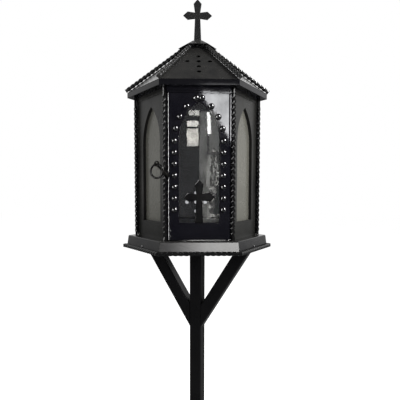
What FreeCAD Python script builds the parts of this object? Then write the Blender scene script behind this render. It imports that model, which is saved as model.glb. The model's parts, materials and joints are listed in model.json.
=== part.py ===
import FreeCAD, Part
import math
import os
import re
import Sketcher

# A hexagonal grave lantern on a forked post.
# Origin: middle of the foot plate's underside. +Z is up and the door faces -Y.
# Heights of lantern pieces are measured from the middle of the bottom plate (lanternLevel).

doc = FreeCAD.newDocument("GraveLantern")
upright = FreeCAD.Vector(0, 0, 1)

# Driving sizes, in millimetres and degrees
sizes = {
    # stand
    "footSide": 220,
    "footThick": 6,
    "footHoleStep": 170,
    "footHole": 11,
    "postSide": 25,
    "postWall": 2,
    "postRound": 2.5,
    "postLength": 640,
    "standTurn": 24,
    "headThick": 5,
    "headWide": 40,
    "headInset": 27.5,
    "braceInset": 2.6,
    "braceDrop": 163.5,
    "boltInset": 68,
    "boltAcross": 24,
    "boltSize": 6,
    "boltHeadHigh": 4,
    "boltHeadWide": 10,
    "boltNutHigh": 5,
    # square bars, twisted
    "barSide": 6,
    "barLay": 40,
    "cornerRadius": 125,
    "plainFoot": 6,
    "plainHead": 16,
    # plate and base box
    "plateLedge": 0.3,
    "plateThick": 3,
    "skirtLedge": 17.4,
    "skirtSplay": 2.8,
    "skirtHigh": 20.1,
    "skirtSheet": 1.5,
    "skirtRound": 2.5,
    "tabWide": 12,
    "tabHigh": 8,
    "tabThick": 2,
    "tabGap": 1.1,
    "skirtScrewSize": 3,
    "skirtScrewHead": 6,
    "skirtScrewHeadHigh": 2,
    "skirtScrewLong": 7,
    "skirtScrewUp": 3.6,
    # walls and windows
    "bodyHigh": 277.7,
    "panelSheet": 1.2,
    "frameSheet": 1.5,
    "frameStile": 10.4,
    "frameSill": 8.4,
    "frameHead": 19.3,
    "windowSill": 32.8,
    "windowHead": 26.15,
    "archRadius": 82,
    "revealDeep": 6,
    "glassThick": 3,
    "glassLap": 6,
    "clipSheet": 0.8,
    "clipWide": 8,
    "clipFoot": 6,
    "clipLip": 5,
    "clipUp": 20,
    "ventSize": 8,
    "ventStep": 21,
    "rearVentUp": 65.4,
    # ring under the eave and lintel over the door
    "ringSheet": 1,
    "ringHigh": 8.3,
    "ringDeep": 14,
    "lintelHigh": 10.8,
    "lintelSheet": 1.2,
    "lintelStep": 1.5,
    "lintelStepHigh": 4,
    "lintelGap": 0.26,
    # candle tray
    "traySpace": 19.6,
    "trayHigh": 28.4,
    "traySheet": 0.8,
    # door
    "doorGap": 1.75,
    "doorLift": 1.4,
    "doorHeadGap": 1,
    "doorStile": 19.5,
    "doorDeep": 5,
    "doorSheet": 1.2,
    "doorRound": 3,
    "doorStandoff": 2,
    "pinSize": 2.6,
    "pinSeat": 0.1,
    "pinDepth": 2.8,
    "pinLong": 25,
    "pinUp": 3,
    "pinDown": 4.4,
    "pinPlay": 0.05,
    "washerSize": 8,
    "washerThick": 1.1,
    "studSize": 11.5,
    "studOut": 7.5,
    "studLow": 24.1,
    "studStep": 20.7,
    "archStudStart": 2.1,
    "archStudStep": 22.4,
    "catchSheet": 0.8,
    "catchWide": 4.8,
    "catchHigh": 16,
    "catchUp": 2,
    "catchTongue": 11.6,
    "catchTongueHigh": 9.5,
    "catchClear": 1.1,
    "rivetSize": 2,
    "rivetHead": 4,
    "rivetStep": 10,
    "rivetUp": 4,
    "rivetIn": 2.2,
    # ring pull and its lug
    "pullSize": 28,
    "pullWire": 3.75,
    "pullTurn": 20,
    "lugTurn": 45,
    "lugThick": 3,
    "lugStrip": 6,
    "lugSlope": 36,
    "lugGap": 0.46,
    "lugOut": 24.4,
    "lugRoot": 5,
    "eyeSize": 7,
    "eyeRim": 1.5,
    "eyePlay": 0.8,
    "eyeUp": 137.7,
    # crosses
    "crossRise": 32,
    "crossReach": 29,
    "crossPoint": 9,
    "crossNeck": 11,
    "crossArm": 12,
    "crossFlare": 16,
    "crossFootWide": 14.6,
    "crossThick": 4,
    "crossBevel": 1,
    "finialDrop": 48.5,
    "doorCrossDrop": 47,
    "finialStud": 5,
    "finialStudLong": 10,
    "finialNutHigh": 4,
    "finialNutWide": 8,
    # roof
    "eaveOver": 17,
    "eaveHigh": 10.2,
    "eaveSheet": 1.5,
    "eaveRim": 1.2,
    "eaveLedge": 50,
    "roofOver": 0.5,
    "roofRise": 103.5,
    "roofSheet": 1.2,
    "roofHole": 21,
    "roofVentUp": 70.6,
    "hipEnd": 24,
    "roofScrewSize": 4,
    "roofScrewHead": 7,
    "roofScrewHeadHigh": 2.4,
    "roofNutHigh": 3.2,
    "roofNutWide": 7,
    # cap
    "capRadius": 39.2,
    "capMidRadius": 22,
    "capMidRise": 9.4,
    "capTopRadius": 9,
    "capRise": 16,
    "capSheet": 1.2,
    # fits and cuts
    "holePlay": 0.15,
    "seatGap": 0.02,
    "weldGap": 0.1,
    "overrun": 5,
}

# Places worked out from the sizes
places = {
    "barRadius": "barSide / sqrt(2)",
    "skirtTopRadius": "cornerRadius + skirtLedge",
    "skirtRadius": "skirtTopRadius + skirtSplay",
    "plateRadius": "skirtRadius + plateLedge",
    "headLong": "2 * (plateRadius - headInset)",
    "braceReach": "headLong / 2 - braceInset",
    "boltAlong": "headLong - 2 * boltInset",
    "eaveRadius": "cornerRadius + eaveOver",
    "eaveHole": "cornerRadius - eaveLedge",
    "headFoot": "footThick + postLength",
    "lanternLevel": "headFoot + headThick + plateThick / 2",
    "braceLean": "atan((braceReach - postSide / 2) / braceDrop)",
    "plateTop": "plateThick / 2",
    "plateFlat": "plateRadius * cos(30)",
    "edgeFlat": "plateFlat + barRadius + seatGap",
    "skirtDraft": "atan((skirtRadius - skirtTopRadius) * cos(30) / skirtHigh)",
    "skirtScrewFlat": "skirtRadius * cos(30) - skirtScrewUp * tan(skirtDraft)",
    "tabFlat": "skirtRadius * cos(30) - skirtSheet - tabHigh * tan(skirtDraft) - tabGap / 2",
    "floorTop": "plateTop + skirtHigh",
    "bodyTop": "floorTop + bodyHigh",
    "faceFlat": "(cornerRadius - barRadius - seatGap) * cos(30)",
    "trayFlat": "faceFlat - traySpace",
    "doorHalf": "cornerRadius / 2 - barRadius - doorGap",
    "doorHigh": "bodyHigh - doorLift - lintelHigh - doorHeadGap",
    "windowWidth": "2 * (doorHalf - doorStile)",
    "archShift": "archRadius - windowWidth / 2",
    "archRise": "sqrt(archRadius ^ 2 - archShift ^ 2)",
    "windowSide": "bodyHigh - windowSill - windowHead - archRise",
    "windowFoot": "floorTop + windowSill",
    "windowSpring": "windowFoot + windowSide",
    "glassHalf": "windowWidth / 2 + glassLap",
    "glassFoot": "windowFoot - glassLap",
    "glassHigh": "windowSide + archRise + 2 * glassLap",
    "frameHalf": "faceFlat * tan(30) - frameStile",
    "frameOpening": "bodyHigh - frameSill - frameHead",
    "doorBack": "faceFlat + doorStandoff",
    "doorFront": "doorBack + doorDeep",
    "doorFoot": "floorTop + doorLift",
    "doorTop": "doorFoot + doorHigh",
    "pinAcross": "doorHalf - doorSheet - pinSize / 2 - pinSeat",
    "pinAhead": "doorFront - pinDepth",
    "lintelHalf": "cornerRadius / 2 - barRadius - lintelGap",
    "lintelFoot": "bodyTop - lintelHigh",
    "ringInner": "faceFlat - ringDeep",
    "ringFoot": "bodyTop - ringHigh",
    "ringMiddle": "faceFlat - ringDeep / 2",
    "catchTongueAt": "frameHalf - catchClear",
    "catchFoot": "doorFoot + doorSheet + catchUp",
    "lugOffset": "barRadius + lugThick / 2 + lugGap",
    "eyeAcross": "cornerRadius / 2 - sin(lugTurn) * lugOffset + cos(lugTurn) * lugOut",
    "eyeAhead": "cornerRadius * cos(30) + cos(lugTurn) * lugOffset + sin(lugTurn) * lugOut",
    "eyeLevel": "doorFoot + eyeUp",
    "pullRadius": "(pullSize - pullWire) / 2",
    "pullLevel": "eyeLevel - (eyeSize - pullWire) / 2 + eyePlay",
    "roofRadius": "eaveRadius + roofOver",
    "roofFoot": "bodyTop + eaveHigh",
    "roofApex": "roofFoot + roofRise",
    "roofPitch": "atan(roofRise / (roofRadius * cos(30)))",
    "hipPitch": "atan(roofRise / roofRadius)",
    "roofFall": "roofSheet / cos(roofPitch)",
    "hipLift": "barRadius + seatGap",
    "hipSeatRadius": "hipEnd + (hipLift + barRadius) * sin(hipPitch)",
    "hipSeatLevel": "roofApex - hipEnd * tan(hipPitch) + (hipLift + barRadius) * cos(hipPitch)",
    "capSlope": "capMidRise / (capRadius - capMidRadius)",
    "capWall": "capSheet * sqrt(1 + capSlope ^ 2)",
    "capFoot": "hipSeatLevel + weldGap + capWall - (capRadius - hipSeatRadius) * capSlope",
    "capTop": "capFoot + capRise",
}

wordPattern = re.compile(r"[A-Za-z]\w*")
pieces = []

# Facets of what repeats
cornerSteps = 8
otherSteps = 6
screwSides = 8
studSides = 10
ventSides = 12


def named(formula):
    # the formula with each size and place led by its sheet's name
    def lead(match):
        word = match.group(0)
        if word in sizes:
            return "Sizes." + word
        return "Places." + word if word in places else word
    return wordPattern.sub(lead, formula)


def fill_sheet(name, cells):
    sheet = doc.addObject("Spreadsheet::Sheet", name)
    for row, (alias, content) in enumerate(cells.items(), 1):
        sheet.set(f"A{row}", alias)
        sheet.set(f"B{row}", content)
        sheet.setAlias(f"B{row}", alias)
    return sheet


sizeSheet = fill_sheet("Sizes", {alias: str(size) for alias, size in sizes.items()})
doc.recompute()
placeSheet = fill_sheet("Places", {alias: "=" + named(formula) for alias, formula in places.items()})
doc.recompute()


def value(formula):
    answer = sizeSheet.evalExpression(named(formula))
    return float(getattr(answer, "Value", answer))


def bind(item, path, formula):
    item.setExpression(path, named(formula))


def place(item, turn, across, ahead, level):
    # moves an object to formulas in a frame turned about the lantern's axis
    item.Placement = FreeCAD.Placement(FreeCAD.Vector(), FreeCAD.Rotation(upright, value(turn)))
    bind(item, "Placement.Rotation.Angle", turn)
    bind(item, "Placement.Base.x", f"({across}) * cos({turn}) - ({ahead}) * sin({turn})")
    bind(item, "Placement.Base.y", f"({across}) * sin({turn}) + ({ahead}) * cos({turn})")
    bind(item, "Placement.Base.z", level)


def keep(item, label):
    item.Label = label
    pieces.append(item)
    return item


# Blocks, rods and hexagons from pairs of formulas, and their sums and differences

def block(across, ahead, level, turn="0", base="lanternLevel"):
    item = doc.addObject("Part::Box", "block")
    for side, (low, high) in zip(("Length", "Width", "Height"), (across, ahead, level)):
        bind(item, side, f"({high}) - ({low})")
    place(item, turn, across[0], ahead[0], f"{base} + ({level[0]})")
    return item


def rod(radius, level, across="0", ahead="0", turn="0", base="lanternLevel"):
    item = doc.addObject("Part::Cylinder", "rod")
    bind(item, "Radius", radius)
    bind(item, "Height", f"({level[1]}) - ({level[0]})")
    place(item, turn, across, ahead, f"{base} + ({level[0]})")
    return item


def screw_hole(radius, level, across="0", ahead="0", turn="0", base="lanternLevel"):
    # a hole with few sides, whose flats clear the radius
    item = doc.addObject("Part::Prism", "screw_hole")
    item.Polygon = screwSides
    bind(item, "Circumradius", f"({radius}) / cos(180 / {screwSides})")
    bind(item, "Height", f"({level[1]}) - ({level[0]})")
    place(item, turn, across, ahead, f"{base} + ({level[0]})")
    return item


def lying_hole(radius, sides, across, ahead, level):
    # a hole along Y, through whatever lies at a place
    item = doc.addObject("Part::Prism", "lying_hole")
    item.Polygon = sides
    bind(item, "Circumradius", f"({radius}) / cos(180 / {sides})")
    bind(item, "Height", "2 * overrun")
    item.Placement.Rotation = FreeCAD.Rotation(FreeCAD.Vector(1, 0, 0), 90)
    bind(item, "Placement.Base.x", across)
    bind(item, "Placement.Base.y", f"{ahead} + overrun")
    bind(item, "Placement.Base.z", f"lanternLevel + {level}")
    return item


def hexagon(flat, level):
    # a hexagonal prism with its corners towards +X, given the distance to its flats
    item = doc.addObject("Part::Prism", "hexagon")
    item.Polygon = 6
    bind(item, "Circumradius", f"({flat}) / cos(30)")
    bind(item, "Height", f"({level[1]}) - ({level[0]})")
    place(item, "0", "0", "0", f"lanternLevel + ({level[0]})")
    return item


def frustum(*rings):
    # a solid with flat sides through hexagons, each a corner radius and a level
    item = doc.addObject("Part::Feature", "frustum")
    item.Shape = skin([ring_of_points(6, value(radius), value(f"lanternLevel + {level}"))
                       for radius, level in rings])
    return item


def fuse(*items):
    item = doc.addObject("Part::MultiFuse", "fusion")
    item.Shapes = list(items)
    return item


def cut(base, *tools):
    item = doc.addObject("Part::Cut", "difference")
    item.Base = base
    item.Tool = tools[0] if len(tools) == 1 else fuse(*tools)
    return item


# Bodies with sketches, pads and pockets

def body(label, turn="0", across="0", ahead="0", level="lanternLevel"):
    item = doc.addObject("PartDesign::Body", label)
    place(item, turn, across, ahead, level)
    return item


def sketch_on(owner, role, away):
    sketch = owner.newObject("Sketcher::SketchObject", "outline")
    plane = [feature for feature in owner.Origin.OriginFeatures if feature.Role == role][0]
    sketch.AttachmentSupport = (plane, "")
    sketch.MapMode = "FlatFace"
    bind(sketch, "AttachmentOffset.Base.z", away)
    return sketch


def fix_point(sketch, edge, spot, formulas):
    for kind, formula in zip(("DistanceX", "DistanceY"), formulas):
        number = sketch.addConstraint(Sketcher.Constraint(kind, -1, 1, edge, spot, value(formula)))
        name = f"{kind}{edge}at{spot}"
        sketch.renameConstraint(number, name)
        bind(sketch, f"Constraints.{name}", formula)


def arc_between(centre, start, end):
    first = math.atan2(start.y - centre.y, start.x - centre.x)
    last = math.atan2(end.y - centre.y, end.x - centre.x)
    circle = Part.Circle(centre, upright, start.distanceToPoint(centre))
    return Part.ArcOfCircle(circle, first, last)


def point(formulas):
    return FreeCAD.Vector(value(formulas[0]), value(formulas[1]), 0)


def draw_outline(sketch, corners, centres=()):
    # one closed outline, anticlockwise; centres holds the arcs by their edge's number
    centres = dict(centres)
    first = len(sketch.Geometry)
    count = len(corners)
    spots = [point(corner) for corner in corners]
    for edge in range(count):
        start, end = spots[edge], spots[(edge + 1) % count]
        if edge in centres:
            sketch.addGeometry(arc_between(point(centres[edge]), start, end))
        else:
            sketch.addGeometry(Part.LineSegment(start, end))
    for edge in range(count):
        following = first + (edge + 1) % count
        sketch.addConstraint(Sketcher.Constraint("Coincident", first + edge, 2, following, 1))
        if edge in centres:
            fix_point(sketch, first + edge, 3, centres[edge])
        if not (edge in centres and (edge - 1) % count in centres):
            fix_point(sketch, first + edge, 1, corners[edge])


def draw_circle(sketch, radius, across, up):
    edge = sketch.addGeometry(Part.Circle(point((across, up)), upright, value(radius)))
    number = sketch.addConstraint(Sketcher.Constraint("Radius", edge, value(radius)))
    sketch.renameConstraint(number, f"Radius{edge}")
    bind(sketch, f"Constraints.Radius{edge}", radius)
    fix_point(sketch, edge, 3, (across, up))


def pad(owner, sketch, length, back=False, middle=False):
    feature = owner.newObject("PartDesign::Pad", "pad")
    feature.Profile = sketch
    bind(feature, "Length", length)
    feature.Reversed = back
    if middle:
        feature.SideType = "Symmetric"
    return feature


def pocket(owner, sketch, length=None, back=False, middle=False):
    feature = owner.newObject("PartDesign::Pocket", "pocket")
    feature.Profile = sketch
    feature.Reversed = back
    if middle:
        feature.SideType = "Symmetric"
    if length:
        bind(feature, "Length", length)
    else:
        feature.Type = "ThroughAll"
    return feature


def round_edges(owner, feature, radius, wanted):
    # rounds the straight edges of a feature that a test picks
    doc.recompute()
    names = [f"Edge{number}" for number, edge in enumerate(feature.Shape.Edges, 1)
             if isinstance(edge.Curve, Part.Line) and wanted(edge)]
    rounding = owner.newObject("PartDesign::Fillet", "rounding")
    rounding.Base = (feature, names)
    bind(rounding, "Radius", radius)
    return rounding


def along(edge, direction):
    return abs(edge.tangentAt(edge.FirstParameter).dot(direction)) > 0.999


def rectangle(half, low, high):
    return [(f"-({half})", low), (half, low), (half, high), (f"-({half})", high)]


# Faceted solids for bars, domes, rings and small screws

def skin(sections, looped=False, twisted=False):
    # a solid through sections that have the same number of points each
    count = len(sections[0])
    faces = []
    pairs = list(zip(sections, sections[1:]))
    if looped:
        pairs.append((sections[-1], sections[0]))
    for low, high in pairs:
        for number in range(count):
            after = (number + 1) % count
            quad = [low[number], low[after], high[after], high[number]]
            if twisted:
                faces.append(face_through(quad[:3]))
                faces.append(face_through([quad[0], quad[2], quad[3]]))
            else:
                faces.append(face_through(quad))
    if not looped:
        faces.append(face_through(sections[0][::-1]))
        faces.append(face_through(sections[-1]))
    return solid_of(faces)


def face_through(spots):
    kept = [spot for number, spot in enumerate(spots)
            if spot.distanceToPoint(spots[number - 1]) > Part.Precision.confusion()]
    return Part.Face(Part.makePolygon(kept + [kept[0]]))


def solid_of(faces):
    solid = Part.Solid(Part.makeShell(faces))
    if solid.Volume < 0:
        solid.reverse()
    return solid


def ring_of_points(sides, radius, level, turn=0.0):
    return [FreeCAD.Vector(radius * math.cos(turn + 2 * math.pi * number / sides),
                           radius * math.sin(turn + 2 * math.pi * number / sides), level)
            for number in range(sides)]



def twisted_bar(length, steps_per_turn, plain_foot=0.0, plain_head=0.0):
    # a square bar along +Z, twisted left-handed between its plain ends by whole quarter turns
    twisted = length - plain_foot - plain_head
    turns = max(1, round(4 * twisted / value("barLay"))) / 4
    steps = max(2, round(turns * steps_per_turn))
    radius = value("barRadius")
    corner = math.pi / 4
    sections = [ring_of_points(4, radius, plain_foot + twisted * step / steps,
                               corner - 2 * math.pi * turns * step / steps)
                for step in range(steps + 1)]
    bar = skin(sections, twisted=True)
    for low, high in ((0.0, plain_foot), (length - plain_head, length)):
        if high > low:
            ends = [ring_of_points(4, radius, level, corner) for level in (low, high)]
            bar = bar.fuse(skin(ends))
    return bar.removeSplitter() if plain_foot or plain_head else bar


def prism_between(sides, radius, low, high):
    return skin([ring_of_points(sides, radius, level) for level in (low, high)])


def dome(radius, height, sides, rings):
    # a faceted dome that stands on the XY plane
    rows = [ring_of_points(sides, radius * math.cos(step * math.pi / 2 / rings),
                           height * math.sin(step * math.pi / 2 / rings))
            for step in range(rings)]
    tip = FreeCAD.Vector(0, 0, height)
    faces = [face_through(rows[0][::-1])]
    for low, high in zip(rows, rows[1:]):
        for number in range(sides):
            after = (number + 1) % sides
            faces.append(face_through([low[number], low[after], high[after], high[number]]))
    for number in range(sides):
        faces.append(face_through([rows[-1][number], rows[-1][(number + 1) % sides], tip]))
    return solid_of(faces)


def nut(width, high, bore):
    outer = prism_between(6, width / 2 / math.cos(math.pi / 6), 0, high)
    overrun = value("overrun")
    return outer.cut(prism_between(screwSides, bore / math.cos(math.pi / screwSides),
                                   -overrun, high + overrun))


def moved(shape, turn, across, ahead, level):
    # a copy turned about the lantern's axis after it is shifted
    placed = shape.copy()
    shift = FreeCAD.Placement(FreeCAD.Vector(across, ahead, level), FreeCAD.Rotation())
    spin = FreeCAD.Placement(FreeCAD.Vector(), FreeCAD.Rotation(upright, turn))
    placed.Placement = spin.multiply(shift).multiply(placed.Placement)
    return placed


def lying(shape):
    # a copy whose +Z points towards -Y
    laid = shape.copy()
    laid.Placement = FreeCAD.Placement(FreeCAD.Vector(), FreeCAD.Rotation(FreeCAD.Vector(1, 0, 0), 90))
    return laid


def shaped(label, shapes, base="lanternLevel"):
    # a sub-part from shapes drawn at the lantern's own level
    item = doc.addObject("Part::Feature", label)
    item.Shape = shapes[0] if len(shapes) == 1 else Part.makeCompound(shapes)
    lift = FreeCAD.Placement(FreeCAD.Vector(0, 0, value(base)), FreeCAD.Rotation())
    item.Placement = lift.multiply(item.Placement)
    return keep(item, label)


# Foot plate

footPlate = body("foot_plate", turn="-standTurn", level="0")
outline = sketch_on(footPlate, "XY_Plane", "0")
draw_outline(outline, rectangle("footSide / 2", "-footSide / 2", "footSide / 2"))
pad(footPlate, outline, "footThick")
holes = sketch_on(footPlate, "XY_Plane", "0")
for across in ("-footHoleStep / 2", "footHoleStep / 2"):
    for ahead in ("-footHoleStep / 2", "footHoleStep / 2"):
        draw_circle(holes, "footHole / 2", across, ahead)
pocket(footPlate, holes, back=True)
keep(footPlate, "foot_plate")

# Post and braces, all of one square tube

post = body("post", turn="-standTurn", level="footThick")
outline = sketch_on(post, "XY_Plane", "0")
draw_outline(outline, rectangle("postSide / 2", "-postSide / 2", "postSide / 2"))
postPad = pad(post, outline, "postLength")
round_edges(post, postPad, "postRound", lambda edge: along(edge, upright))
bore = sketch_on(post, "XY_Plane", "0")
boreHalf = "postSide / 2 - postWall"
draw_outline(bore, rectangle(boreHalf, f"-({boreHalf})", boreHalf))
pocket(post, bore, back=True)
keep(post, "post")


def brace_outline(inset):
    # the brace seen from its side, or its bore where inset is the wall
    far = f"({inset})"
    near = f"(postSide - {inset})"
    side = "postSide / 2"
    return [(side, f"{far} / sin(braceLean) - braceDrop"),
            (f"braceReach - {far} / cos(braceLean)", "0"),
            (f"braceReach - {near} / cos(braceLean)", "0"),
            (side, f"{near} / sin(braceLean) - braceDrop")]


def add_brace(label, turn):
    brace = body(label, turn=turn, level="headFoot")
    side = sketch_on(brace, "XZ_Plane", "0")
    draw_outline(side, brace_outline("0"))
    bracePad = pad(brace, side, "postSide", middle=True)
    lean = math.radians(value("braceLean"))
    slope = FreeCAD.Vector(math.sin(lean), 0, math.cos(lean))
    round_edges(brace, bracePad, "postRound", lambda edge: along(edge, slope))
    bore = sketch_on(brace, "XZ_Plane", "0")
    draw_outline(bore, brace_outline("postWall"))
    pocket(brace, bore, "postSide - 2 * postWall", middle=True)
    keep(brace, label)


add_brace("brace_right", "-standTurn")
add_brace("brace_left", "180 - standTurn")

# Flat head bar with the bolts and nuts that hold the lantern

boltSpots = [(f"{side} * boltAlong / 2", f"{edge} * boltAcross / 2")
             for side in (-1, 1) for edge in (-1, 1)]
boltHole = "boltSize / 2 + holePlay"
headBar = block(("-headLong / 2", "headLong / 2"), ("-headWide / 2", "headWide / 2"),
                ("0", "headThick"), turn="-standTurn", base="headFoot")
headHoles = [screw_hole(boltHole, ("-overrun", "headThick + overrun"), across, ahead,
                        "-standTurn", "headFoot") for across, ahead in boltSpots]
keep(cut(headBar, *headHoles), "stand_head")


def on_stand(shape, level):
    return [moved(shape, -value("standTurn"), value(across), value(ahead), level)
            for across, ahead in boltSpots]


plateTop = value("plateTop")
boltHead = prism_between(6, value("boltHeadWide / 2 / cos(30)"), -value("boltHeadHigh"), 0)
boltShank = prism_between(screwSides, value("boltSize / 2"), 0,
                          value("headThick + plateThick + boltNutHigh + holePlay"))
shaped("stand_bolts", on_stand(boltHead.fuse(boltShank).removeSplitter(), -plateTop - value("headThick")))
boltNut = nut(value("boltHeadWide"), value("boltNutHigh"), value("boltSize / 2 + seatGap"))
shaped("stand_nuts", on_stand(boltNut, plateTop))

# Bottom plate with five upstanding tabs for the skirt's screws

screwedTurns = (30, 90, 150, 210, 330)
plate = hexagon("plateFlat", ("-plateTop", "plateTop"))
tabs = [block(("tabFlat - tabThick", "tabFlat"), ("-tabWide / 2", "tabWide / 2"),
              ("plateTop", "plateTop + tabHigh"), turn=str(turn)) for turn in screwedTurns]


def skirt_hole(turn):
    # the screw's hole, square to the leaning skirt
    item = doc.addObject("Part::Prism", "screw_hole")
    item.Polygon = screwSides
    bind(item, "Circumradius", f"(skirtScrewSize / 2 + holePlay) / cos(180 / {screwSides})")
    bind(item, "Height", "skirtScrewLong + 2 * overrun")
    reach = "(skirtScrewFlat - (skirtScrewLong + overrun) * cos(skirtDraft))"
    tilt = FreeCAD.Rotation(FreeCAD.Vector(0, 1, 0), 90 - value("skirtDraft"))
    item.Placement.Rotation = FreeCAD.Rotation(upright, turn).multiply(tilt)
    bind(item, "Placement.Base.x", f"{reach} * cos({turn})")
    bind(item, "Placement.Base.y", f"{reach} * sin({turn})")
    bind(item, "Placement.Base.z",
         "lanternLevel + plateTop + skirtScrewUp - (skirtScrewLong + overrun) * sin(skirtDraft)")
    return item


plateHoles = [screw_hole(boltHole, ("-plateTop - overrun", "plateTop + overrun"), across, ahead,
                         "-standTurn") for across, ahead in boltSpots]
tabHoles = [skirt_hole(turn) for turn in screwedTurns]
keep(cut(fuse(plate, *tabs), *plateHoles, *tabHoles), "bottom_plate")

# Twisted bar round the plate, mitred at its six corners

edgeFlat = value("edgeFlat")
edgeSpan = value("2 * (edgeFlat + barRadius) * tan(30)")
edgeBar = twisted_bar(edgeSpan, otherSteps)
edgeBar.Placement = FreeCAD.Placement(FreeCAD.Vector(-edgeSpan / 2, -edgeFlat, 0),
                                      FreeCAD.Rotation(FreeCAD.Vector(0, 1, 0), 90))
wedgeReach = value("edgeFlat + overrun + barRadius")
wedgeHalf = (wedgeReach - value("seatGap")) * math.tan(math.pi / 6)
wedgeHeight = value("barSide")
wedgeFloor = Part.Face(Part.makePolygon([
    FreeCAD.Vector(0, -value("seatGap"), -wedgeHeight),
    FreeCAD.Vector(-wedgeHalf, -wedgeReach, -wedgeHeight),
    FreeCAD.Vector(wedgeHalf, -wedgeReach, -wedgeHeight),
    FreeCAD.Vector(0, -value("seatGap"), -wedgeHeight)]))
edgeBar = edgeBar.common(wedgeFloor.extrude(FreeCAD.Vector(0, 0, 2 * wedgeHeight)))
shaped("edge_bars", [moved(edgeBar, turn, 0, 0, 0) for turn in range(0, 360, 60)])

# Base box: the lantern's floor and leaning skirt, folded from one sheet

boxOuter = frustum(("skirtRadius", "plateTop"), ("skirtTopRadius", "floorTop"))
doc.recompute()
topLevel = value("lanternLevel + floorTop")
topEdges = [number for number, edge in enumerate(boxOuter.Shape.Edges, 1)
            if abs(edge.CenterOfMass.z - topLevel) < value("seatGap")]
boxRounded = doc.addObject("Part::Fillet", "rounded_box")
boxRounded.Base = boxOuter
boxRounded.Edges = [(number, value("skirtRound"), value("skirtRound")) for number in topEdges]
boxInner = frustum(("skirtRadius - skirtSheet / cos(30)", "plateTop"),
                   ("skirtTopRadius - skirtSheet / cos(30)", "floorTop - skirtSheet"))
pinHole = "pinSize / 2 + pinPlay"
floorHole = rod(pinHole, ("floorTop - skirtSheet - overrun", "floorTop + overrun"), "pinAcross", "-pinAhead")
skirtHoles = [skirt_hole(turn) for turn in screwedTurns]
keep(cut(boxRounded, boxInner, floorHole, *skirtHoles), "base_box")

skirtScrew = dome(value("skirtScrewHead / 2"), value("skirtScrewHeadHigh"), screwSides, 2).fuse(
    prism_between(screwSides, value("skirtScrewSize / 2"), -value("skirtScrewLong"), 0)).removeSplitter()
skirtTilt = FreeCAD.Rotation(FreeCAD.Vector(0, 1, 0), 90 - value("skirtDraft"))
skirtScrew.Placement = FreeCAD.Placement(
    FreeCAD.Vector(value("skirtScrewFlat + seatGap"), 0, value("plateTop + skirtScrewUp")), skirtTilt)
shaped("skirt_screws", [moved(skirtScrew, turn, 0, 0, 0) for turn in screwedTurns])

# Corner bars

cornerTurns = {"front_left": 240, "front_right": 300, "right": 0,
               "rear_right": 60, "rear_left": 120, "left": 180}
cornerBar = twisted_bar(value("bodyHigh"), cornerSteps, value("plainFoot"), value("plainHead"))
for corner, turn in cornerTurns.items():
    shaped("corner_bar_" + corner, [moved(cornerBar, turn, value("cornerRadius"), 0, value("floorTop"))])


# Walls: sheets that meet in mitres behind the corner bars

def add_wall(owner, sheet):
    outer = "(faceFlat - seatGap / cos(30)) * tan(30)"
    inner = f"(faceFlat - {sheet} - seatGap / cos(30)) * tan(30)"
    section = sketch_on(owner, "XY_Plane", "floorTop")
    draw_outline(section, [(f"-{outer}", "-faceFlat"), (outer, "-faceFlat"),
                           (inner, f"{sheet} - faceFlat"), (f"-{inner}", f"{sheet} - faceFlat")])
    return pad(owner, section, "bodyHigh - ringSheet")


def gothic(grow):
    # the pointed window's outline, grown all round
    half = f"(windowWidth / 2 + {grow})"
    apex = f"windowSpring + sqrt((archRadius + {grow}) ^ 2 - archShift ^ 2)"
    foot = f"windowFoot - {grow}"
    corners = [(f"-{half}", foot), (half, foot), (half, "windowSpring"), ("0", apex),
               (f"-{half}", "windowSpring")]
    return corners, {2: ("-archShift", "windowSpring"), 3: ("archShift", "windowSpring")}


def add_windowed_panel(label, turn):
    panel = body(label, turn=turn)
    add_wall(panel, "panelSheet")
    rim = sketch_on(panel, "XZ_Plane", "faceFlat")
    draw_outline(rim, *gothic("panelSheet"))
    pad(panel, rim, "revealDeep", back=True)
    opening = sketch_on(panel, "XZ_Plane", "faceFlat")
    draw_outline(opening, *gothic("0"))
    pocket(panel, opening)
    keep(panel, label)


sideTurns = {"left_front": "-60", "right_front": "60", "right_rear": "120", "left_rear": "240"}
for side, turn in sideTurns.items():
    add_windowed_panel("panel_" + side, turn)

ventCross = ((0, 1), (0, 0), (-1, 0), (1, 0), (0, -1), (0, -2))

rearWall = body("rear_wall", turn="180")
add_wall(rearWall, "panelSheet")
rearVents = [lying_hole("ventSize / 2", ventSides, f"{across} * ventStep", "faceFlat",
                        f"floorTop + rearVentUp + {up} * ventStep") for across, up in ventCross]
keep(cut(rearWall, *rearVents), "panel_rear")

frontFrame = body("front_frame")
add_wall(frontFrame, "frameSheet")
opening = sketch_on(frontFrame, "XZ_Plane", "faceFlat")
draw_outline(opening, rectangle("frameHalf", "floorTop + frameSill", "floorTop + frameSill + frameOpening"))
pocket(frontFrame, opening)
keep(frontFrame, "front_frame")

# Channel ring that caps the walls under the eave

ringTube = cut(hexagon("faceFlat", ("ringFoot - overrun", "bodyTop - ringSheet")),
               hexagon("ringInner + ringSheet", ("ringFoot - 2 * overrun", "bodyTop")))
ringScrewTurns = (30, 150, 270)
screwHole = "roofScrewSize / 2 + holePlay"
ringHoles = [screw_hole(screwHole, ("ringFoot", "bodyTop + overrun"), "ringMiddle", "0", str(turn))
             for turn in ringScrewTurns]
keep(cut(hexagon("faceFlat + ringSheet", ("ringFoot", "bodyTop")), ringTube,
         hexagon("ringInner", ("ringFoot - overrun", "bodyTop + overrun")), *ringHoles), "top_ring")

# Lintel over the door, a stepped channel that holds the upper pin

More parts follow.
